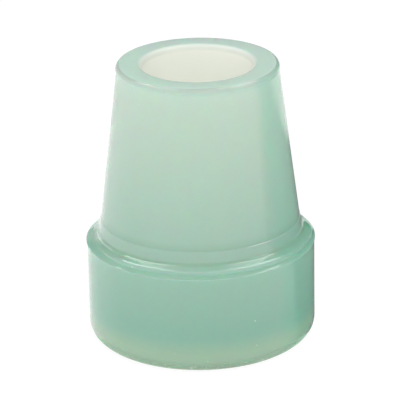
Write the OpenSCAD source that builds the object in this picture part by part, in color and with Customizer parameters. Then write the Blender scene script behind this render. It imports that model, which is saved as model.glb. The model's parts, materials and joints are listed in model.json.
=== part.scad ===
// Rubber tip for a walking cane, moulded in one piece: a tapered sleeve with a blind bore
// for the shaft, which swells through a coved shoulder and the step of the mould's parting
// line into a wider foot with a ringed sole.
// Millimetres, +Z up along the bore, origin at the middle of the sole.

/* [Bore] */
// Diameter of the bore, which grips a shaft of the same size
bore_d = 19; // [12:0.5:26]
// Depth of the bore, from the rim down to its floor
bore_depth = 35; // [25:1:38]
// Rounding of the bore's mouth
mouth_r = 1; // [0.4:0.1:2]
// Rounding between the bore's wall and its floor
floor_r = 1.5; // [0.5:0.25:3]

/* [Sleeve] */
// Overall height, from the sole to the rim
height = 50; // [44:1:65]
// Thickness of the sleeve's wall at the rim
rim_wall = 4.4; // [3.5:0.1:6]
// Thickness of the sleeve's wall at its foot, level with the top of the foot's side
root_wall = 8.45; // [6.5:0.05:11]
// Rounding of the rim's outer edge
rim_r = 0.75; // [0.4:0.05:1.2]
// How far the rim's bead stands out from the tapered wall
bead = 0.18; // [0.05:0.01:0.3]

/* [Foot] */
// Height of the foot's upright side, up to the parting line
foot_h = 17.8; // [10:0.1:22]
// How far the foot stands out from the sleeve
foot_step = 2.05; // [1.5:0.05:5]
// How far the parting line stands out from the foot's side
flash = 0.12; // [0.05:0.01:0.2]
// Height over which the side swells out to the parting line
flash_h = 0.6; // [0.3:0.1:1.5]
// Rounding of the parting line's edge
edge_r = 0.25; // [0.15:0.05:0.4]
// Radius of the cove between the step and the sleeve
cove_r = 6; // [3:0.5:12]
// Rounding of the sole's outer edge
sole_r = 3; // [0.5:0.1:4]

/* [Parting step] */
// Width of the ledge above the parting line, in from the foot's side
ledge_w = 0.95; // [0.7:0.05:1.3]
// Slope of the ledge, from the level
ledge_slope = 25; // [5:5:40]
// Height of the upright step between the ledge and the cove
step_h = 0.5; // [0.3:0.05:0.8]
// Rounding of the step's upper edge
step_r = 0.15; // [0.05:0.05:0.3]

/* [Tread] */
// Number of ring grooves in the sole
groove_count = 4; // [1:1:5]
// Width of a groove, whose bottom is half round
groove_w = 1.5; // [0.8:0.1:2]
// Depth of a groove
groove_depth = 1.2; // [0.9:0.1:2.5]
// Width of the flat land outside the last groove
land_w = 1.2; // [1:0.1:4]
// Radius of the flat pad in the middle of the sole
pad_r = 3.2; // [2:0.1:5]

/* [Hidden] */
$fn = 192;

rubber_green = [0.66, 0.83, 0.75];
arc_step = 5;

bore_r = bore_d / 2;
rim_line_r = bore_r + rim_wall;
root_r = bore_r + root_wall;
foot_r = root_r + foot_step;

// The taper leans in by this angle; its outward normal is as far above the level
taper = atan((root_r - rim_line_r) / (height - foot_h));
taper_normal = [cos(taper), sin(taper)];

// The foot's side swells to the parting line, whose edge turns from upright to the ledge
side_end = [foot_r, foot_h - flash_h];
edge_mid = [foot_r + flash - edge_r, foot_h];
ledge_tilt = 90 - ledge_slope;
ledge_end = edge_mid + edge_r * [cos(ledge_tilt), sin(ledge_tilt)];

// The step stands at the inner side of the ledge
step_face_r = foot_r - ledge_w;
step_level = ledge_end[1] + (ledge_end[0] - step_face_r) * tan(ledge_slope);
step_mid = [step_face_r - step_r, step_level + step_h];

// The cove touches the tapered wall and the step's rounded edge
step_gap = taper_normal * (step_mid - [root_r, foot_h]);
cove = max(cove_r, 1.5 * step_gap);
cove_tilt = taper + acos((cove - step_gap) / (cove + step_r));
cove_mid = step_mid + (cove + step_r) * [cos(cove_tilt), sin(cove_tilt)];

// The rim's bead is part of a circle that cuts the tapered wall a little below the rim
bead_level = height - rim_r;
wall_at_bead = root_r - (bead_level - foot_h) * tan(taper);
bead_mid = [wall_at_bead + bead - rim_r, bead_level];
bead_start = taper - acos((rim_r - bead * cos(taper)) / rim_r);

floor_level = height - bore_depth;
mouth_mid = [bore_r + mouth_r, height - mouth_r];
floor_mid = [bore_r - floor_r, floor_level + floor_r];
sole_mid = [foot_r - sole_r, sole_r];

last_groove_r = foot_r - sole_r - land_w - groove_w / 2;
first_groove_r = pad_r + groove_w / 2;
groove_pitch = groove_count > 1 ? (last_groove_r - first_groove_r) / (groove_count - 1) : 0;

// Points along a round stretch, from one angle to another
function arc(mid, r, from, to) =
    let (steps = max(2, ceil(abs(to - from) / arc_step)))
    [for (i = [0:steps]) mid + r * [cos(from + (to - from) * i / steps), sin(from + (to - from) * i / steps)]];

// Half section of the tip, from the middle of the sole round to the middle of the bore's floor
module half_section() {
    polygon(concat(
        [[0, 0]],
        arc(sole_mid, sole_r, -90, 0),
        [side_end],
        arc(edge_mid, edge_r, 0, ledge_tilt),
        [[step_face_r, step_level]],
        arc(step_mid, step_r, 0, cove_tilt),
        arc(cove_mid, cove, 180 + cove_tilt, 180 + taper),
        arc(bead_mid, rim_r, bead_start, 90),
        arc(mouth_mid, mouth_r, 90, 180),
        arc(floor_mid, floor_r, 0, -90),
        [[0, floor_level]]
    ));
}

// One ring groove of the sole, cut from just below it
module ring_groove(r) {
    rotate_extrude()
        translate([r, 0]) {
            translate([-groove_w / 2, -1])
                square([groove_w, 1 + groove_depth - groove_w / 2]);
            translate([0, groove_depth - groove_w / 2])
                circle(d = groove_w);
        }
}

module tread() {
    for (i = [0:groove_count - 1])
        ring_groove(last_groove_r - i * groove_pitch);
}

module cane_tip() {
    color(rubber_green)
        difference() {
            rotate_extrude()
                half_section();
            tread();
        }
}

cane_tip();
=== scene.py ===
"""Finish of a moulded rubber cane tip and the small studio that it stands in.

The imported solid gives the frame. One moulding of the same form replaces it, with the trimmed
edges and the milky, glossy rubber of the real tip. Lengths are in metres unless a name says mm.
Bearings are in degrees from the front, to the right, and rises in degrees above the level.
"""

import json
import math

import bpy
from bpy.props import FloatProperty, FloatVectorProperty, IntProperty, PointerProperty
from bpy.types import Operator, Panel, PropertyGroup
from mathutils import Matrix, Vector, noise


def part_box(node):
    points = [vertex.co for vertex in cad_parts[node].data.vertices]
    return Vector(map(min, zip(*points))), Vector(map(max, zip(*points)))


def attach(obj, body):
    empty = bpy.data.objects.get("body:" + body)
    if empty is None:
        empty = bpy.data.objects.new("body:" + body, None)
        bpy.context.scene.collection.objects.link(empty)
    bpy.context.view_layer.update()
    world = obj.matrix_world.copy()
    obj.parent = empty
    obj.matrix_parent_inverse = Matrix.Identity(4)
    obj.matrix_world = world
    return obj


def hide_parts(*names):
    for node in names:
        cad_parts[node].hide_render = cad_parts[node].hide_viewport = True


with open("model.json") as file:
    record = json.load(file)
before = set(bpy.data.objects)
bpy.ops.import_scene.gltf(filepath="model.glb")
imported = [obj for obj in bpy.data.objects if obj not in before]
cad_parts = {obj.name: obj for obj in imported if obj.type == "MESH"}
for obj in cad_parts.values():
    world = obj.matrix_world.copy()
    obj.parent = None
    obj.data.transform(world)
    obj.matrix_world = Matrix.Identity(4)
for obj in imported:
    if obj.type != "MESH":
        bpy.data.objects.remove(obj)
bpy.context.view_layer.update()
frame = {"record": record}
NODE = "cane_tip"
PIECE = "cane_tip_moulding"
BODY = "root"
SLOT = "milky_rubber"
MM = 0.001
LOW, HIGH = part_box(NODE)
OUTER = min(HIGH.x, HIGH.y, -LOW.x, -LOW.y)
BORE = next(m for m in frame["record"]["mounts"] if m["name"] == "shaft_bore")
QUARTER = math.pi / 2
WHITE = (1, 1, 1)

bl_info = {
    "name": "Moulded cane tip",
    "version": (1, 0, 0),
    "blender": (4, 5, 0),
    "location": "3D View > Sidebar > Cane tip",
    "description": "Builds a milky rubber cane tip and a plain studio around it",
    "category": "Object",
}


def length(name, description, default):
    """A length in metres for a property group."""
    return FloatProperty(
        name=name, description=description, default=default, min=0.0, unit="LENGTH", precision=5
    )


def share(name, description, default, high=1.0):
    """A plain factor for a property group."""
    return FloatProperty(name=name, description=description, default=default, min=0.0, max=high)


def angle(name, description, degrees):
    """An angle for a property group, given in degrees."""
    return FloatProperty(
        name=name,
        description=description,
        default=math.radians(degrees),
        subtype="ANGLE",
        unit="ROTATION",
    )


def colour(name, description, default):
    """A linear colour for a property group."""
    return FloatVectorProperty(
        name=name, description=description, default=default, size=3, min=0.0, max=1.0, subtype="COLOR"
    )


def pixels(name, description, default):
    """A width in pixels of the frame for a property group."""
    return FloatProperty(name=name, description=description, default=default, subtype="PIXEL")


class TipShape(PropertyGroup):
    """Sizes of the moulding. All but the shoulder's, the waves and the nicks are the solid's own."""

    height: length("Height", "From the sole to the rim", HIGH.z)
    bore_r: length("Bore radius", "Radius of the bore", BORE["dims"]["r_mm"] * MM)
    bore_depth: length("Bore depth", "From the rim to the bore's floor", 35 * MM)
    mouth_r: length("Mouth rounding", "Rounding of the bore's mouth", 1.0 * MM)
    floor_r: length("Floor rounding", "Rounding between the bore and its floor", 1.5 * MM)
    rim_wall: length("Rim wall", "Wall of the sleeve at the rim", 4.4 * MM)
    root_wall: length("Root wall", "Wall of the sleeve, level with the top of the foot's side", 8.45 * MM)
    rim_r: length("Rim rounding", "Rounding of the rim's outer edge", 0.75 * MM)
    bead: length("Bead", "How far the rim's bead stands out", 0.18 * MM)
    foot_h: length("Foot height", "Height of the foot's side, up to the parting line", 17.8 * MM)
    flash: length("Flash", "How far the parting line stands out from the foot's side", 0.12 * MM)
    flash_h: length("Flash height", "Height over which the side swells to the parting line", 0.6 * MM)
    edge_r: length("Edge rounding", "Rounding of the parting line's edge", 0.15 * MM)
    ledge_w: length("Ledge", "Width of the ledge above the parting line", 0.95 * MM)
    ledge_slope: angle("Ledge slope", "Slope of the ledge, from the level", 25)
    mismatch: length("Mismatch", "How far the upper mould half bulges over the ledge in front", 0.5 * MM)
    bulge_w: length("Bulge width", "Width of the bulge of the upper mould half", 2.09 * MM)
    step_h: length("Step", "Height of the upright step above the ledge", 0.5 * MM)
    step_r: length("Step rounding", "Rounding of the step's upper edge", 0.3 * MM)
    slant_w: length("Slant width", "Width of the slant on the left and behind, without a step", 2.2 * MM)
    slant_h: length("Slant height", "Height of that slant", 1.74 * MM)
    cove_r: length("Cove", "Radius of the cove between the step and the sleeve", 2.4 * MM)
    cove_lean: angle("Cove lean", "Lean of the cove where it meets the flare in a soft crease", 34)
    flare_r: length("Flare", "Radius of the slight flare at the sleeve's foot, above the cove", 22 * MM)
    flare_lean: angle("Flare lean", "Lean of the sleeve's foot where the cove starts", 12)
    ridge: length("Ridge", "How far the flare stands out where the sleeve starts", 0.07 * MM)
    ridge_slope: share("Ridge slope", "Height over which the ridge falls back, in ridges", 1.8, 10.0)
    # Height of the painted shade just above the crease at the sleeve's foot.
    fold_up: length("Fold", "Height of the tinted crease above the foot's side", 4.2 * MM)
    sole_r: length("Sole rounding", "Rounding of the sole's outer edge", 3 * MM)
    groove_count: IntProperty(name="Grooves", description="Ring grooves in the sole", default=4, min=1)
    groove_w: length("Groove width", "Width of a groove in the sole", 1.5 * MM)
    groove_depth: length("Groove depth", "Depth of a groove in the sole", 1.2 * MM)
    land_w: length("Land", "Flat land outside the last groove", 1.2 * MM)
    pad_r: length("Pad radius", "Flat pad in the middle of the sole", 3.2 * MM)
    waves: length("Waves", "Height of the slight waves of the moulded skin", 0.03 * MM)
    wave_w: length("Wave width", "Width of those waves", 7 * MM)
    nicks: length("Nicks", "Depth of the nicks along the trimmed rim", 0.08 * MM)
    nick_w: length("Nick width", "Width of those nicks", 0.7 * MM)
    around: IntProperty(name="Columns", description="Mesh columns around the axis", default=720, min=48)


class RubberFinish(PropertyGroup):
    """Colours and gloss of the milky rubber, with light and shade painted into several of the colours."""

    # Painted shade: a darker tint multiplied onto the sole's edge where it meets the floor, for the
    # contact shadow there.
    brink_shade: colour("Brink", "Tint where the sole's edge meets the floor", (0.75, 0.9, 0.75))
    # Painted light: the sole's rounded edge is painted paler and yellower, for the floor's light that
    # comes through the rubber there.
    sole: colour("Sole", "Colour of the rounded edge of the sole", (0.35, 0.508, 0.368))
    deep: colour("Deep", "Colour where the rubber is thickest", (0.262, 0.465, 0.372))
    # Painted shade: the cove and the ledge are painted darker, for the shade that falls in them.
    hollow_shade: colour("Hollow", "Colour in the cove and on the ledge", (0.315, 0.483, 0.39))
    # Painted light: the cove's left side is painted paler, for the pale board that lights it and shows in
    # its gloss.
    lit_flank: colour("Flank", "Colour in the cove on the lit left side", (0.46, 0.60, 0.52))
    # Painted shade: a darker tint multiplied onto a band just above the crease at the sleeve's foot.
    fold_shade: colour("Fold", "Tint just above the crease at the sleeve's foot", (0.88, 0.93, 0.89))
    # Painted light: the thin upper wall is painted paler, for the light that comes through it; the deep
    # colour is the rubber's own where it is thick.
    thin: colour("Thin", "Colour of the thin upper wall", (0.53, 0.607, 0.548))
    # Painted shade and highlight: the rim's rounded edge is multiplied darker and less green, to take off
    # the light that falls on it most and give it the neutral tint of a highlight.
    edge: colour("Edge", "Tint of the rim's rounded edge", (0.86, 0.835, 0.83))
    # Painted light: the flat rim is painted paler, for the light that comes through the thin wall below
    # it.
    rim: colour("Rim", "Colour of the flat rim", (0.62, 0.775, 0.665))
    # Painted shade: a darker, greener tint multiplied onto the right side, which is turned from the
    # lamps.
    turned: colour("Turned", "Tint of the side that is turned from the lamps", (0.86, 1.0, 0.97))
    fleck: colour("Fleck", "Colour of the small bubbles near the skin", (0.75, 0.85, 0.8))
    # Painted shade: the mouth of the bore is painted darker, to take off the light that falls on its
    # rounding.
    mouth: colour("Mouth", "Colour inside the bore, at its mouth", (0.73, 0.765, 0.69))
    # Partly the bore's own pale lining, partly painted light: near white further down, for the light that
    # comes in through its walls.
    cream: colour("Cream", "Colour inside the bore, further down", (0.98, 1.0, 0.92))
    roughness: share("Roughness", "Roughness of the moulded skin", 0.045)
    cloudy: share("Cloudiness", "How much that roughness varies", 0.03)
    dull: share("Dullness", "Roughness inside the bore", 0.5)
    bending: share("Index", "Index of refraction of the rubber", 1.48, 3.0)
    milk: share("Milk", "How much of the light spreads below the skin", 0.6)
    depth: length("Depth", "How far light spreads below the skin", 20 * MM)
    spread: colour("Spread", "Shares of that depth for red, green and blue", (0.12, 1.0, 0.4))


class Studio(PropertyGroup):
    """Camera, lamps, cards and floor."""

    distance: length("Camera distance", "From the camera to what it looks at", 0.5)
    elevation: angle("Camera elevation", "Height of the camera above the level", 21.59)
    roll: angle("Camera roll", "Roll of the camera", -1.06)
    target_z: length("Target height", "Height that the camera looks at", 24.575 * MM)
    view_px: pixels("Focal length", "Focal length in pixels of the frame", 2855.0)
    frame_px: pixels("Frame", "Width of the frame in pixels", 400.0)
    air: share("Air", "Level of the soft light from all round", 0.42)
    floor_white: share("Floor colour", "Whiteness of the floor's paper", 0.9)
    floor_glow: share("Floor glow", "Brightness of the plain white that the floor is seen as", 1.05, 5.0)
    floor_plain: share("Plain floor", "How much of the seen floor is that plain white", 0.9)
    board_glow: share("Board", "Brightness of the white boards in front and on the left", 1.5, 5.0)
    grey_glow: share("Grey board", "Brightness of the low grey board behind", 0.5, 5.0)
    paper_glow: share("Pale paper", "Brightness of the paper that the left side mirrors", 1.2, 5.0)
    dusk_edge: share("Dark paper's edge", "Brightness of the dark paper where it fades out", 0.95)
    dusk_glow: share("Dark paper", "Brightness of the paper that the right side mirrors", 0.22)
    contact: colour("Contact shade", "Shade that the sole's edge mirrors", (0.64, 0.86, 0.66))
    box_glow: share("Softboxes", "Brightness of the softboxes in the gloss", 5.0, 10.0)
    fill_glow: share("Fill lamp", "Brightness of the soft lamp on the right", 0.9, 10.0)
    top_glow: share("Top lamp", "Brightness of the soft lamp above the front", 3.6, 10.0)
    lamp_glow: share("Lamps", "Brightness of the two strip lamps", 2.8, 10.0)


class Wire:
    """A shader socket that Python's own operators work on, each as one Math node."""

    def __init__(self, tree, socket):
        self.tree = tree
        self.socket = socket

    def __add__(self, other):
        return self.tree.math("ADD", self, other)

    def __radd__(self, other):
        return self.tree.math("ADD", other, self)

    def __sub__(self, other):
        return self.tree.math("SUBTRACT", self, other)

    def __rsub__(self, other):
        return self.tree.math("SUBTRACT", other, self)

    def __mul__(self, other):
        return self.tree.math("MULTIPLY", self, other)

    def __rmul__(self, other):
        return self.tree.math("MULTIPLY", other, self)

    def __truediv__(self, other):
        return self.tree.math("DIVIDE", self, other)

    def __rtruediv__(self, other):
        return self.tree.math("DIVIDE", other, self)

    def __pow__(self, other):
        return self.tree.math("POWER", self, other)

    def __rpow__(self, other):
        return self.tree.math("POWER", other, self)

    def least(self, other):
        """The smaller of the two."""
        return self.tree.math("MINIMUM", self, other)

    def most(self, other):
        """The larger of the two."""
        return self.tree.math("MAXIMUM", self, other)

    def clamp(self):
        """The value, kept from 0 to 1."""
        return self.tree.math("ADD", self, 0.0, clamp=True)

    def between(self, start, end):
        """0 at start, 1 at end, smooth in between."""
        settings = {"interpolation_type": "SMOOTHSTEP"}
        inputs = {"Value": self, "From Min": start, "From Max": end}
        return self.tree.node("ShaderNodeMapRange", settings, inputs)

    def within(self, start, full, fading, end):
        """0 up to start, 1 from full to fading and 0 from end on, smooth in between."""
        return self.between(start, full) * self.between(end, fading)

    def part(self, axis):
        """One axis of a place."""
        return self.tree.node("ShaderNodeSeparateXYZ", {}, {0: self}, out=axis)


class Tree:
    """Builds the nodes of one material or world."""

    # Numbers of the Mix node's colour sockets, which share their names with those for other types.
    MIX_FACTOR, MIX_A, MIX_B, MIX_RESULT = 0, 6, 7, 2

    def __init__(self, owner):
        owner.use_nodes = True
        self.nodes = owner.node_tree.nodes
        self.links = owner.node_tree.links
        self.nodes.clear()

    def node(self, kind, settings=None, inputs=None, out=0):
        """Adds a node with its settings, then the values or links of its sockets."""
        made = self.nodes.new(kind)
        for name, value in (settings or {}).items():
            setattr(made, name, value)
        for name, value in (inputs or {}).items():
            if isinstance(value, Wire):
                self.links.new(value.socket, made.inputs[name])
            else:
                made.inputs[name].default_value = value
        return Wire(self, made.outputs[out]) if made.outputs else None

    def math(self, operation, a, b, clamp=False):
        """One Math node of two values."""
        return self.node("ShaderNodeMath", {"operation": operation, "use_clamp": clamp}, {0: a, 1: b})

    def mix(self, factor, a, b, blend="MIX"):
        """Colour a where factor is 0, and colour b or its blend with a where it is 1."""
        a, b = (value if isinstance(value, Wire) else (*value, 1.0) for value in (a, b))
        settings = {"data_type": "RGBA", "blend_type": blend}
        inputs = {self.MIX_FACTOR: factor, self.MIX_A: a, self.MIX_B: b}
        return self.node("ShaderNodeMix", settings, inputs, out=self.MIX_RESULT)


# About how far apart the section's points lie along straight stretches, and the widest angle between
# them round its arcs.
STRAIGHT_STEP = 1.2 * MM
ARC_STEP = math.radians(6)
SMALL_ARC_STEP = math.radians(15)
GROOVE_STEP = math.radians(18)
COVE_STEP = math.radians(3)
FLARE_STEP = math.radians(1)
# Faces that meet at more than this are shaded with a sharp edge.
SHARP_FROM = math.radians(28)

# Bearings over which the shoulder's step comes out of the plain slant, on the left and on the right,
# and how far above the slant the shoulder is still reshaped.
STEP_LEFT = (-66, -42)
STEP_RIGHT = (115, 85)
SLANT_CLEAR = 0.1 * MM
# The stretch of the rim that is cut most roughly: its middle's bearing, how far from there the nicks
# start and are full, and how deep they are elsewhere, as a share.
ROUGH_CUT = 27
ROUGH_FADE = (26, 14)
FINE_CUT = 0.3


def ray(tilt):
    """Unit vector of the section at an angle from the outward level."""
    return Vector((math.cos(tilt), math.sin(tilt)))


def arc(mid, r, start, end, step=ARC_STEP):
    """Points along a round stretch, from one angle to another."""
    count = max(2, math.ceil(abs(end - start) / step))
    return [mid + r * ray(start + (end - start) * i / count) for i in range(count + 1)]


def straight(a, b):
    """Points between two ends of a straight stretch, without the ends."""
    count = max(1, round((b - a).length / STRAIGHT_STEP))
    return [a.lerp(b, i / count) for i in range(1, count)]


def sole_section(s):
    """Section of the sole, from its middle out to the last groove."""
    half = s.groove_w / 2
    first = s.pad_r + half
    last = OUTER - s.flash - s.sole_r - s.land_w - half
    points = [Vector((0, 0))]
    for i in range(s.groove_count):
        r = first + (last - first) * i / max(1, s.groove_count - 1)
        crown = Vector((r, s.groove_depth - half))
        points.append(Vector((r - half, 0)))
        points += arc(crown, half, math.pi, 0, GROOVE_STEP)
        points.append(Vector((r + half, 0)))
    return points


def section(s):
    """Half section of the tip, from the middle of the sole round to the bore's floor."""
    foot_r = OUTER - s.flash
    root_r = s.bore_r + s.root_wall
    taper = math.atan((s.root_wall - s.rim_wall) / (s.height - s.foot_h))

    # The parting line's lip, the ledge that slopes up from it and the step on the ledge.
    lip_mid = Vector((OUTER - s.edge_r, s.foot_h))
    ledge_tilt = QUARTER - s.ledge_slope
    ledge_end = lip_mid + s.edge_r * ray(ledge_tilt)
    face_r = foot_r - s.ledge_w
    step_foot = Vector((face_r, ledge_end.y + (ledge_end.x - face_r) * math.tan(s.ledge_slope)))
    step_mid = step_foot + Vector((-s.step_r, s.step_h))

    # The cove and the flare slide up the sleeve together until the cove touches the step's edge.
    square, leaned, creased = ray(taper), ray(s.flare_lean), ray(s.cove_lean)
    rise = Vector((-math.sin(taper), math.cos(taper)))
    cove_low = Vector((root_r + s.ridge, s.foot_h)) + s.flare_r * (square - leaned) + s.cove_r * creased
    off = cove_low - step_mid
    touch = s.cove_r + s.step_r
    climb = (off.dot(rise) ** 2 - off.dot(off) + touch**2) ** 0.5 - off.dot(rise)
    cove_mid = cove_low + climb * rise
    flare_mid = cove_mid - s.cove_r * creased + s.flare_r * leaned
    cove_tilt = math.atan2(cove_mid.y - step_mid.y, cove_mid.x - step_mid.x)
    sleeve_foot = flare_mid - (s.flare_r + s.ridge) * square + s.ridge_slope * s.ridge * rise

    # The beaded rim, the bore's mouth and its floor.
    bead_z = s.height - s.rim_r
    bead_mid = Vector((root_r - (bead_z - s.foot_h) * math.tan(taper) + s.bead - s.rim_r, bead_z))
    bead_start = taper - math.acos((s.rim_r - s.bead * math.cos(taper)) / s.rim_r)
    mouth_mid = Vector((s.bore_r + s.mouth_r, s.height - s.mouth_r))
    floor_z = s.height - s.bore_depth
    floor_mid = Vector((s.bore_r - s.floor_r, floor_z + s.floor_r))

    stretches = [
        arc(Vector((foot_r - s.sole_r, s.sole_r)), s.sole_r, -QUARTER, 0),
        [Vector((foot_r, s.foot_h - s.flash_h))],
        arc(lip_mid, s.edge_r, 0, ledge_tilt, SMALL_ARC_STEP),
        [step_foot],
        arc(step_mid, s.step_r, 0, cove_tilt, SMALL_ARC_STEP),
        arc(cove_mid, s.cove_r, math.pi + cove_tilt, math.pi + s.cove_lean, COVE_STEP),
        arc(flare_mid, s.flare_r, math.pi + s.flare_lean, math.pi + taper, FLARE_STEP)[1:],
        [sleeve_foot],
        arc(bead_mid, s.rim_r, bead_start, QUARTER),
        arc(mouth_mid, s.mouth_r, QUARTER, math.pi),
        arc(floor_mid, s.floor_r, 0, -QUARTER, SMALL_ARC_STEP),
        [Vector((0, floor_z))],
    ]
    points = sole_section(s)
    for stretch in stretches:
        points += straight(points[-1], stretch[0]) + stretch
    return points


def ease(value, start, end):
    """0 at start, 1 at end, smooth in between."""
    t = min(1.0, max(0.0, (value - start) / (end - start)))
    return t * t * (3 - 2 * t)


def bearing_of(turn):
    """Bearing of a mesh column, from -180 to 180; the columns are turned from the x axis."""
    return (math.degrees(turn) + 270) % 360 - 180


def shoulder(s, point, turn):
    """Where a point of the section lies at a turn: the upper mould half bulges over the ledge in
    front, and on the left and behind its step dies out into a plain slant."""
    foot_r = OUTER - s.flash
    face_r = foot_r - s.ledge_w
    top = s.foot_h + s.slant_h + SLANT_CLEAR
    if not (s.foot_h < point.y < top and foot_r - s.slant_w < point.x < foot_r):
        return point
    bearing = bearing_of(turn)
    front = ease(bearing, *STEP_LEFT) * ease(bearing, *STEP_RIGHT)
    hang = min(1.0, (foot_r - point.x) / s.ledge_w) * ease(point.x, foot_r - s.bulge_w, face_r - s.step_r)
    slant = s.foot_h + s.slant_h * (foot_r - point.x) / s.slant_w
    return Vector((point.x + s.mismatch * front * hang, slant + (point.y - slant) * front))


def worn(s, point, turn):
    """A point of the outer skin with the slight waves of the moulding and the nicks of its trimming.
    The bore, its mouth and the sole's flat stay as they are."""
    plain_r = s.bore_r + 2 * s.mouth_r
    plain_z = 0.2 * s.sole_r
    if point.x < plain_r or point.y < plain_z:
        return point
    place = Vector((math.cos(turn) * point.x, math.sin(turn) * point.x, point.y))
    out = s.waves * noise.noise(place / s.wave_w)
    rounding_r = s.bore_r + s.rim_wall - s.rim_r
    rounding_z = s.height - 1.2 * s.rim_r
    if point.x > rounding_r and point.y > rounding_z:
        rough = FINE_CUT + (1 - FINE_CUT) * ease(abs(bearing_of(turn) - ROUGH_CUT), *ROUGH_FADE)
        out += s.nicks * rough * min(0.0, noise.noise(place / s.nick_w))
    return Vector((min(point.x + out, OUTER), point.y))


def revolve(name, s, points):
    """A closed mesh from a half section whose two ends lie on the axis."""
    ring = points[1:-1]
    columns = s.around
    turns = [2 * math.pi * i / columns for i in range(columns)]
    verts = [(0, 0, points[0].y)]
    for point in ring:
        for t in turns:
            p = worn(s, shoulder(s, point, t), t)
            verts.append((p.x * math.cos(t), p.x * math.sin(t), p.y))
    verts.append((0, 0, points[-1].y))
    faces = []
    for i in range(columns):
        j = (i + 1) % columns
        faces.append((0, 1 + j, 1 + i))
        for k in range(len(ring) - 1):
            low = 1 + k * columns
            faces.append((low + i, low + j, low + columns + j, low + columns + i))
        top = 1 + (len(ring) - 1) * columns
        faces.append((top + i, top + j, len(verts) - 1))
    mesh = bpy.data.meshes.new(name)
    mesh.from_pydata(verts, [], faces)
    mesh.validate()
    mesh.update()
    mesh.polygons.foreach_set("use_smooth", [True] * len(mesh.polygons))
    mesh.set_sharp_from_angle(angle=SHARP_FROM)
    return mesh


# Heights at which a colour starts, is full, fades and ends: above the top of the foot's side for the
# painted shade of the ledge and the cove, above the crease for its painted shade, and above the floor
# for the grit.
LEDGE_ZONE = (-0.1 * MM, 0.2 * MM, 0.5 * MM, 0.7 * MM)
COVE_ZONE = (0.9 * MM, 1.2 * MM, 1.8 * MM, 2.6 * MM)
CREASE_ZONE = (-0.1 * MM, 0.05 * MM, 0.1 * MM, 1.6 * MM)
GRIT_ZONE = (0.4 * MM, 0.8 * MM, 1.2 * MM, 2.4 * MM)
# Between these heights the wall's colour goes from thick to thin, paler as painted light that comes
# through the thinner wall: above the floor, and below the rim.
THICK_UP = 8 * MM
THIN_DOWN = 2 * MM
# Heights over which the sole's painted light and the painted contact shade where it meets the floor come
# in, going down; the first in sole roundings.
SOLE_FADE = (2.3, 1.1)
BRINK_FADE = (0.8 * MM, 0.3 * MM)
# Distances below the rim over which the flat rim's painted light, the painted shade at the bore's mouth
# and the painted shade on the outer edge come in, going up; the last in rim roundings.
FLAT_FADE = (0.03 * MM, 0.005 * MM)
MOUTH_FADE = (1.2 * MM, 0.5 * MM)
EDGE_FADE = (1.3, 0.8)
# Shares of the rim's wall over which that painted shade takes over from the flat rim's painted light,
# going out.
EDGE_WALL = (0.5, 0.6)
# Distances from the bore's wall over which its lining gives way to the skin, and how far below the
# bore's floor the lining starts.
LINING_FADE = (0.2 * MM, 0.95 * MM)
LINING_START = 1.0 * MM
# How far to the right a place lies, as a share of its radius, where the painted light on the left side
# and the painted shade on the right side start and are full.
LIT_SIDE = (-0.93, -0.975)
TURNED_SIDE = (0.64, 0.8)
# Grains, bubbles and clouds to a metre, how finely their pattern breaks up, the values of it over
# which they come in, and how strongly they show.
GRIT_SCALE = 1300.0
GRIT_DETAIL = 2.0
GRIT_FADE = (0.58, 0.7)
GRIT_SHARE = 0.4
BUBBLE_SCALE = 260.0
BUBBLE_FADE = (0.05, 0.025)
BUBBLE_SHARE = 0.5
CLOUD_SCALE = 900.0
CLOUD_DETAIL = 3.0


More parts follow.
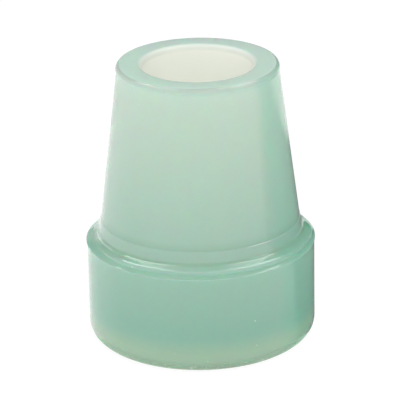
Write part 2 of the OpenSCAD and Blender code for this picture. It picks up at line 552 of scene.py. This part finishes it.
def skin_colour(tree, s, f, place, radius):
    """Colour of the outer skin: paler where the wall is thin, as painted light that comes through it;
    painted shade in the cove, on the ledge, above the crease, on the rim's edge, where the sole meets the
    floor and on the side turned from the lamps; painted light on the cove's lit left side, the flat rim
    and the sole's edge; and the grit and bubbles on top."""
    up = place.part("Z")
    side = place.part("X") / radius
    # Partly the rubber's own deeper colour where it is thick, partly painted light: paler towards the
    # rim, where light comes through the thinner wall.
    thin_z = s.height - THIN_DOWN
    thin = ((up - THICK_UP) / (thin_z - THICK_UP)).clamp()
    body = tree.mix(thin, f.deep, f.thin)

    above = up - s.foot_h
    # Painted shade: a darker band just above the crease.
    crease = (above - s.fold_up).within(*CREASE_ZONE)
    body = tree.mix(crease, body, f.fold_shade, "MULTIPLY")
    # Painted shade in the cove and on the ledge, with painted light on the cove's left side.
    ledge = above.within(*LEDGE_ZONE)
    cove = above.within(*COVE_ZONE)
    hollow_shade = tree.mix(side.between(*LIT_SIDE) * cove, f.hollow_shade, f.lit_flank)
    body = tree.mix(ledge + cove, body, hollow_shade)
    # Painted light: the paler, yellower band on the sole's rounded edge, for light from the floor.
    body = tree.mix((up / s.sole_r).between(*SOLE_FADE), body, f.sole)
    # Painted shade on the right side, which is turned from the lamps.
    body = tree.mix(side.between(*TURNED_SIDE), body, f.turned, "MULTIPLY")

    below = s.height - up
    # Painted shade and highlight tint on the rim's rounded outer edge.
    top = (below / s.rim_r).between(*EDGE_FADE)
    outer = ((radius - s.bore_r) / s.rim_wall).between(*EDGE_WALL)
    body = tree.mix(top * outer, body, f.edge, "MULTIPLY")
    # Painted light on the flat rim.
    flat = below.between(*FLAT_FADE)
    body = tree.mix((flat + top * (1 - outer)).clamp(), body, f.rim)
    # Painted shade: the contact shadow at the sole's edge, multiplied in just above the floor.
    body = tree.mix(up.between(*BRINK_FADE), body, f.brink_shade, "MULTIPLY")

    pattern = {"Vector": place, "Scale": GRIT_SCALE, "Detail": GRIT_DETAIL}
    grains = tree.node("ShaderNodeTexNoise", {}, pattern)
    grit = grains.between(*GRIT_FADE) * up.within(*GRIT_ZONE)
    body = tree.mix(grit * GRIT_SHARE, body, f.fleck)
    pattern = {"Vector": place, "Scale": BUBBLE_SCALE}
    cells = tree.node("ShaderNodeTexVoronoi", {}, pattern, out="Distance")
    return tree.mix(cells.between(*BUBBLE_FADE) * BUBBLE_SHARE, body, f.fleck)


def rubber(s, f):
    """Milky rubber with a moulded gloss outside, and a dull cream lining inside the bore, painted
    brighter down the bore for the light that comes in through the walls and painted darker at its mouth
    as shade.
    """
    material = bpy.data.materials.new(SLOT)
    tree = Tree(material)
    place = tree.node("ShaderNodeTexCoord", out="Object")
    across, back, up = (place.part(axis) for axis in "XYZ")
    radius = (across * across + back * back) ** 0.5
    pattern = {"Vector": place, "Scale": CLOUD_SCALE, "Detail": CLOUD_DETAIL}
    cloud = tree.node("ShaderNodeTexNoise", {}, pattern)
    skin = tree.node(
        "ShaderNodeBsdfPrincipled",
        {"subsurface_method": "RANDOM_WALK"},
        {
            "Base Color": skin_colour(tree, s, f, place, radius),
            "Roughness": cloud * f.cloudy + (f.roughness - f.cloudy / 2),
            "Subsurface Weight": f.milk,
            "Subsurface Radius": f.spread,
            "Subsurface Scale": f.depth,
            "IOR": f.bending,
        },
    )
    # Painted light down the bore, fading to painted shade at its mouth.
    pale = tree.mix((s.height - up).between(*MOUTH_FADE), f.cream, f.mouth)
    lining = tree.node(
        "ShaderNodeBsdfPrincipled", {}, {"Base Color": pale, "Roughness": f.dull, "IOR": f.bending}
    )
    floor_z = s.height - s.bore_depth
    beside = (radius - s.bore_r).between(*LINING_FADE)
    inside = (1 - beside) * up.between(floor_z - LINING_START, floor_z)
    both = tree.node("ShaderNodeMixShader", {}, {0: inside, 1: skin, 2: lining})
    tree.node("ShaderNodeOutputMaterial", {}, {"Surface": both})
    return material


class CANETIP_OT_moulding(Operator):
    """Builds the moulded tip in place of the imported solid."""

    bl_idname = "canetip.moulding"
    bl_label = "Build moulding"

    def execute(self, context):
        shape = context.scene.canetip_shape
        finish = context.scene.canetip_finish
        mesh = revolve(PIECE, shape, section(shape))
        tip = bpy.data.objects.new(PIECE, mesh)
        context.scene.collection.objects.link(tip)
        mesh.materials.append(rubber(shape, finish))
        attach(tip, BODY)
        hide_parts(NODE)
        return {"FINISHED"}


# Bearings of the cards' folds: right round, and for the boards on the left, in front and behind.
ROUND_ABOUT = range(-180, 181, 5)
LEFT_ABOUT = range(-135, -49, 5)
FRONT_ABOUT = range(-50, 61, 5)
BEHIND_ABOUT = range(-180, -149, 5)
# How far off the floor ends and the ceiling, its cap, the boards and the softboxes stand.
FLOOR_REACH = 6.0
CEILING_REACH = 2.5
CAP_REACH = 2.4
BOARD_REACH = 3.0
BOX_REACH = 2.0
# The ceiling comes down from its cap to one rise in front. Between these bearings it comes down
# further, on the left to a share of that rise and on the right to the level.
CAP_RISE = 60
FRONT_RISE = 30
LEFT_FALL = (-60, -135)
LEFT_SHARE = 0.45
RIGHT_FALL = (60, 88)
# Rise of the white boards' lower edge, how far they reach up behind the ceiling's edge, and the rises
# of the grey board's edges.
BOARD_LOW = 2
BOARD_LAP = 1
GREY_RISES = (-0.4, 13.5)
# Outlines of the softboxes, as bearings and rises.
SOFTBOXES = {
    "left_box": [
        (-116, 43), (-104, 58), (-84, 72), (-100, 78), (-146, 72), (-156, 66), (-150, 57), (-148, 44),
    ],
    "right_box": [
        (106, 46), (96, 58), (80, 72), (100, 78), (146, 72), (158, 65), (152, 56), (147, 48),
    ],
    "low_box": [(62, 36), (64, 44), (88, 38), (92, 30), (80, 29)],
}
# Corners of the papers beside the tip, x to the side and y to the back: the nose beside the foot, the
# end of the slanting front edge, the inner corner of the back edge, the reach of the whole sheet, and
# the two corners close behind the foot. The dark paper has a tongue in front as well.
# The dark paper's nose beside the foot and its corners close behind it make a painted shadow there: the
# tip's own shadow on the floor, as the gloss shows it.
PAPER_NOSE = (21.4 * MM, -13.4 * MM)
PAPER_FRONT = (60 * MM, -2 * MM)
PAPER_BACK = (40 * MM, 112 * MM)
PAPER_REACH = (500 * MM, 240 * MM)
PAPER_HEEL = ((3 * MM, 21.5 * MM), (15 * MM, 16 * MM))
PAPER_LIFT = 0.4 * MM
TONGUE_SIDES = (100 * MM, 262 * MM)
TONGUE_FRONT = -44 * MM
# Widths over which the dark paper fades at its front and back edges. On the tongue the fade starts a
# little inside the edge, and distances count for only a share.
FRONT_FADE = 7 * MM
BACK_FADE = 18 * MM
TONGUE_EDGE = 3 * MM
TONGUE_SHARE = 0.55
# Radii and height of the ring that stands for the shade on the floor beside the sole.
CONTACT_RING = (16 * MM, 22 * MM)
CONTACT_LIFT = 0.1 * MM
# Middle and size of the two soft lamps, ends and width of the two strips, and what they all face.
TOP_LAMP = ((0, -0.86, 1.23), (1.2, 0.8))
FILL_LAMP = ((1.3, -0.1, 0.5), (0.8, 0.8))
STRIPS = {
    "left_strip": ((-0.531, -0.611, 1), (-1.414, 0.199, 1)),
    "right_strip": ((0.574, -0.735, 1), (1.663, -0.058, 1)),
}
STRIP_WIDTH = 0.26
LAMP_TARGET = Vector((0, 0, 30 * MM))


def soft_lamp(scene, name, place, size, radiance):
    """A rectangular soft lamp that faces the tip and isn't mirrored. Its power follows from its area."""
    data = bpy.data.lights.new(name, "AREA")
    data.shape = "RECTANGLE"
    data.size, data.size_y = size
    data.energy = radiance * math.pi * size[0] * size[1]
    lamp = bpy.data.objects.new(name, data)
    lamp.location = place
    lamp.rotation_euler = (LAMP_TARGET - Vector(place)).to_track_quat("-Z", "Y").to_euler()
    lamp.visible_glossy = False
    scene.collection.objects.link(lamp)
    return lamp


def card(scene, name, corners, material, faces=None, mirrored_only=True):
    """A thin card of the studio, which the camera never sees; one face unless more are given."""
    mesh = bpy.data.meshes.new(name)
    mesh.from_pydata(corners, [], faces or [tuple(range(len(corners)))])
    mesh.materials.append(material)
    made = bpy.data.objects.new(name, mesh)
    made.visible_camera = False
    if mirrored_only:
        made.visible_diffuse = False
        made.visible_shadow = False
    scene.collection.objects.link(made)
    return made


def ribbon(scene, name, pairs, material, mirrored_only=True):
    """A card between two edges, given as pairs of places that follow one another."""
    places = [place for pair in pairs for place in pair]
    faces = [(i, i + 2, i + 3, i + 1) for i in range(0, len(places) - 2, 2)]
    return card(scene, name, places, material, faces, mirrored_only)


def spot(bearing, rise, reach):
    """The place that lies at a bearing, at a level reach, and is seen from the tip at a rise."""
    b = math.radians(bearing)
    return Vector((math.sin(b), -math.cos(b), math.tan(math.radians(rise)))) * reach


def grey(level):
    """A neutral colour."""
    return (level, level, level)


def glow(name, shade, strength=1.0):
    """A plain glowing surface."""
    material = bpy.data.materials.new(name)
    tree = Tree(material)
    lit = tree.node("ShaderNodeEmission", {}, {"Color": (*shade, 1), "Strength": strength})
    tree.node("ShaderNodeOutputMaterial", {}, {"Surface": lit})
    return material


def seen_or_mirrored(tree):
    """1 for what the camera sees, straight or by gloss or glass, and 0 for what only lights."""
    camera = tree.node("ShaderNodeLightPath", out="Is Camera Ray")
    glossy = tree.node("ShaderNodeLightPath", out="Is Glossy Ray")
    through = tree.node("ShaderNodeLightPath", out="Is Transmission Ray")
    return (camera + glossy + through).clamp()


def floor_paper(studio):
    """White paper that is seen and mirrored as white, with part of its own shading kept."""
    material = bpy.data.materials.new("floor_paper")
    tree = Tree(material)
    paper = tree.node("ShaderNodeBsdfDiffuse", {}, {"Color": (*grey(studio.floor_white), 1)})
    plain = tree.node("ShaderNodeEmission", {}, {"Color": (*WHITE, 1), "Strength": studio.floor_glow})
    seen = seen_or_mirrored(tree) * studio.floor_plain
    both = tree.node("ShaderNodeMixShader", {}, {0: seen, 1: paper, 2: plain})
    tree.node("ShaderNodeOutputMaterial", {}, {"Surface": both})
    return material


def plain_floor(scene, studio):
    """A level floor that the camera sees."""
    r = FLOOR_REACH
    corners = [(-r, -r, 0), (r, -r, 0), (r, r, 0), (-r, r, 0)]
    floor = card(scene, "floor", corners, floor_paper(studio), mirrored_only=False)
    floor.visible_camera = True


def plain_world(scene, studio):
    """White where it is seen or mirrored, and a plain soft level as light."""
    world = bpy.data.worlds.new("studio_air")
    scene.world = world
    tree = Tree(world)
    level = studio.air + seen_or_mirrored(tree) * (1 - studio.air)
    air = tree.node("ShaderNodeBackground", {}, {"Color": (*WHITE, 1), "Strength": level})
    tree.node("ShaderNodeOutputWorld", {}, {"Surface": air})


def ceiling_edge(bearing):
    """Rise of the dark ceiling's edge, which is highest in front and level on the right."""
    top, low = LEFT_FALL
    left = max(LEFT_SHARE, (bearing - low) / (top - low))
    top, low = RIGHT_FALL
    right = (bearing - low) / (top - low)
    return FRONT_RISE * min(1, max(0, min(left, right)))


def ceiling(scene):
    """A black ceiling that comes down round the tip, over the boards."""
    black = glow("black_cloth", (0, 0, 0), 0)
    sides = [[spot(b, rise, CEILING_REACH) for rise in (ceiling_edge(b), CAP_RISE)] for b in ROUND_ABOUT]
    ribbon(scene, "ceiling", sides, black)
    card(scene, "ceiling_cap", [spot(b, CAP_RISE, CAP_REACH) for b in ROUND_ABOUT[:-1]], black)


def boards(scene, studio):
    """White boards below the ceiling, in front and on the left, and a low grey one behind."""
    white = glow("white_board", WHITE, studio.board_glow)
    for name, bearings, only in (("left_board", LEFT_ABOUT, False), ("front_board", FRONT_ABOUT, True)):
        edges = [(b, (BOARD_LOW, ceiling_edge(b) + BOARD_LAP)) for b in bearings]
        sides = [[spot(b, rise, BOARD_REACH) for rise in rises] for b, rises in edges]
        ribbon(scene, name, sides, white, mirrored_only=only)
    sides = [[spot(b, rise, CEILING_REACH) for rise in GREY_RISES] for b in BEHIND_ABOUT]
    ribbon(scene, "back_board", sides, glow("grey_board", WHITE, studio.grey_glow))


def softboxes(scene, studio):
    """Three glowing cards that only the gloss shows."""
    cloth = glow("softbox_cloth", WHITE, studio.box_glow)
    for name, outline in SOFTBOXES.items():
        corners = [spot(b, rise, BOX_REACH * math.cos(math.radians(rise))) for b, rise in outline]
        card(scene, name, corners, cloth)


def contact_shade(scene, studio):
    """A ring just above the floor, which the sole's edge mirrors as the floor's own shade there."""
    lift = Vector((0, 0, CONTACT_LIFT))
    sides = [[spot(b, 0, r) + lift for r in CONTACT_RING] for b in ROUND_ABOUT]
    ribbon(scene, "contact_shade", sides, glow("contact_shade", studio.contact))


def dusk_paper(studio):
    """Grey paper that fades into the white floor at its front and back edges."""
    material = bpy.data.materials.new("dusk_paper")
    tree = Tree(material)
    place = tree.node("ShaderNodeTexCoord", out="Object")
    x, y = place.part("X"), place.part("Y")
    nose, turn, back = Vector(PAPER_NOSE), Vector(PAPER_FRONT), Vector(PAPER_BACK)
    along = (turn - nose).normalized()
    near = ((y - nose.y) * along.x - (x - nose.x) * along.y).most(y - turn.y)
    left, right = TONGUE_SIDES
    far = (y - (TONGUE_FRONT + TONGUE_EDGE)).least(x - left).least(right - x)
    front = near.most(far * TONGUE_SHARE)
    behind = (back.y - y).most(back.x - x)
    dusk = front.between(0, FRONT_FADE) * behind.between(0, BACK_FADE)
    shade = tree.mix(dusk, grey(studio.dusk_edge), grey(studio.dusk_glow))
    lit = tree.node("ShaderNodeEmission", {}, {"Color": shade})
    tree.node("ShaderNodeOutputMaterial", {}, {"Surface": lit})
    return material


def papers(scene, studio):
    """A dark paper to the right of the tip and a pale one to its left, which only the gloss shows. Close
    beside and behind the foot the dark paper is a painted shadow: the tip's own shadow on the floor.
    """
    (front_x, front_y), (back_x, back_y), (reach_x, reach_y) = PAPER_FRONT, PAPER_BACK, PAPER_REACH
    left, right = TONGUE_SIDES
    tongue = [(left, front_y), (left, TONGUE_FRONT), (right, TONGUE_FRONT), (right, front_y)]
    slanting = [PAPER_NOSE, (front_x, front_y)]
    wide = [(reach_x, front_y), (reach_x, back_y), (back_x, back_y)]
    deep = [(back_x, reach_y), (PAPER_HEEL[0][0], reach_y), *PAPER_HEEL]
    pale = glow("pale_paper", WHITE, studio.paper_glow)
    for name, side, outline, material in (
        ("dark_paper", 1, slanting + tongue + wide + deep, dusk_paper(studio)),
        ("pale_paper", -1, slanting + wide + deep, pale),
    ):
        card(scene, name, [(side * x, y, PAPER_LIFT) for x, y in outline], material)


def lamps(scene, studio):
    """Two soft lamps, above the front and on the right, and two strips that run back on both sides."""
    soft_lamp(scene, "front_top", *TOP_LAMP, studio.top_glow)
    soft_lamp(scene, "right_fill", *FILL_LAMP, studio.fill_glow)
    for name, ends in STRIPS.items():
        near, far = Vector(ends[0]), Vector(ends[1])
        size = ((far - near).length, STRIP_WIDTH)
        lamp = soft_lamp(scene, name, (near + far) / 2, size, studio.lamp_glow)
        along = (far - near).normalized()
        back = lamp.location - LAMP_TARGET
        back = (back - along * back.dot(along)).normalized()
        lamp.rotation_euler = Matrix((along, back.cross(along), back)).transposed().to_euler()


def camera(scene, studio):
    """The camera, in front of the tip and a little above it."""
    data = bpy.data.cameras.new("camera")
    data.lens = studio.view_px / studio.frame_px * data.sensor_width
    made = bpy.data.objects.new("camera", data)
    back = Vector((0, -math.cos(studio.elevation), math.sin(studio.elevation)))
    target = Vector((0, 0, studio.target_z))
    turn = (-back).to_track_quat("-Z", "Y").to_matrix() @ Matrix.Rotation(studio.roll, 3, "Z")
    made.matrix_world = Matrix.Translation(target + back * studio.distance) @ turn.to_4x4()
    scene.collection.objects.link(made)
    scene.camera = made


class CANETIP_OT_studio(Operator):
    """Sets up the floor, the air, the cards, the lamps and the camera."""

    bl_idname = "canetip.studio"
    bl_label = "Set up studio"

    def execute(self, context):
        scene = context.scene
        studio = scene.canetip_studio
        scene.view_settings.view_transform = "Standard"
        plain_floor(scene, studio)
        plain_world(scene, studio)
        ceiling(scene)
        boards(scene, studio)
        softboxes(scene, studio)
        contact_shade(scene, studio)
        papers(scene, studio)
        lamps(scene, studio)
        camera(scene, studio)
        return {"FINISHED"}


class CANETIP_PT_panel(Panel):
    """Lists the tip's operators, sizes and colours."""

    bl_idname = "CANETIP_PT_panel"
    bl_label = "Cane tip"
    bl_space_type = "VIEW_3D"
    bl_region_type = "UI"
    bl_category = "Cane tip"

    def draw(self, context):
        for operator in OPERATORS:
            self.layout.operator(operator.bl_idname)
        for name, group in GROUPS.items():
            box = self.layout.box()
            for setting in group.__annotations__:
                box.prop(getattr(context.scene, name), setting)


OPERATORS = (CANETIP_OT_moulding, CANETIP_OT_studio)
GROUPS = {"canetip_shape": TipShape, "canetip_finish": RubberFinish, "canetip_studio": Studio}
CLASSES = (*GROUPS.values(), *OPERATORS, CANETIP_PT_panel)


def register():
    """Registers the classes, and the groups of settings on the scene."""
    for cls in CLASSES:
        bpy.utils.register_class(cls)
    for name, group in GROUPS.items():
        setattr(bpy.types.Scene, name, PointerProperty(type=group))


def unregister():
    """Takes away what register made."""
    for name in GROUPS:
        delattr(bpy.types.Scene, name)
    for cls in reversed(CLASSES):
        bpy.utils.unregister_class(cls)


def main():
    """Builds the tip and its studio."""
    register()
    bpy.ops.canetip.moulding()
    bpy.ops.canetip.studio()


if __name__ == "__main__":
    main()
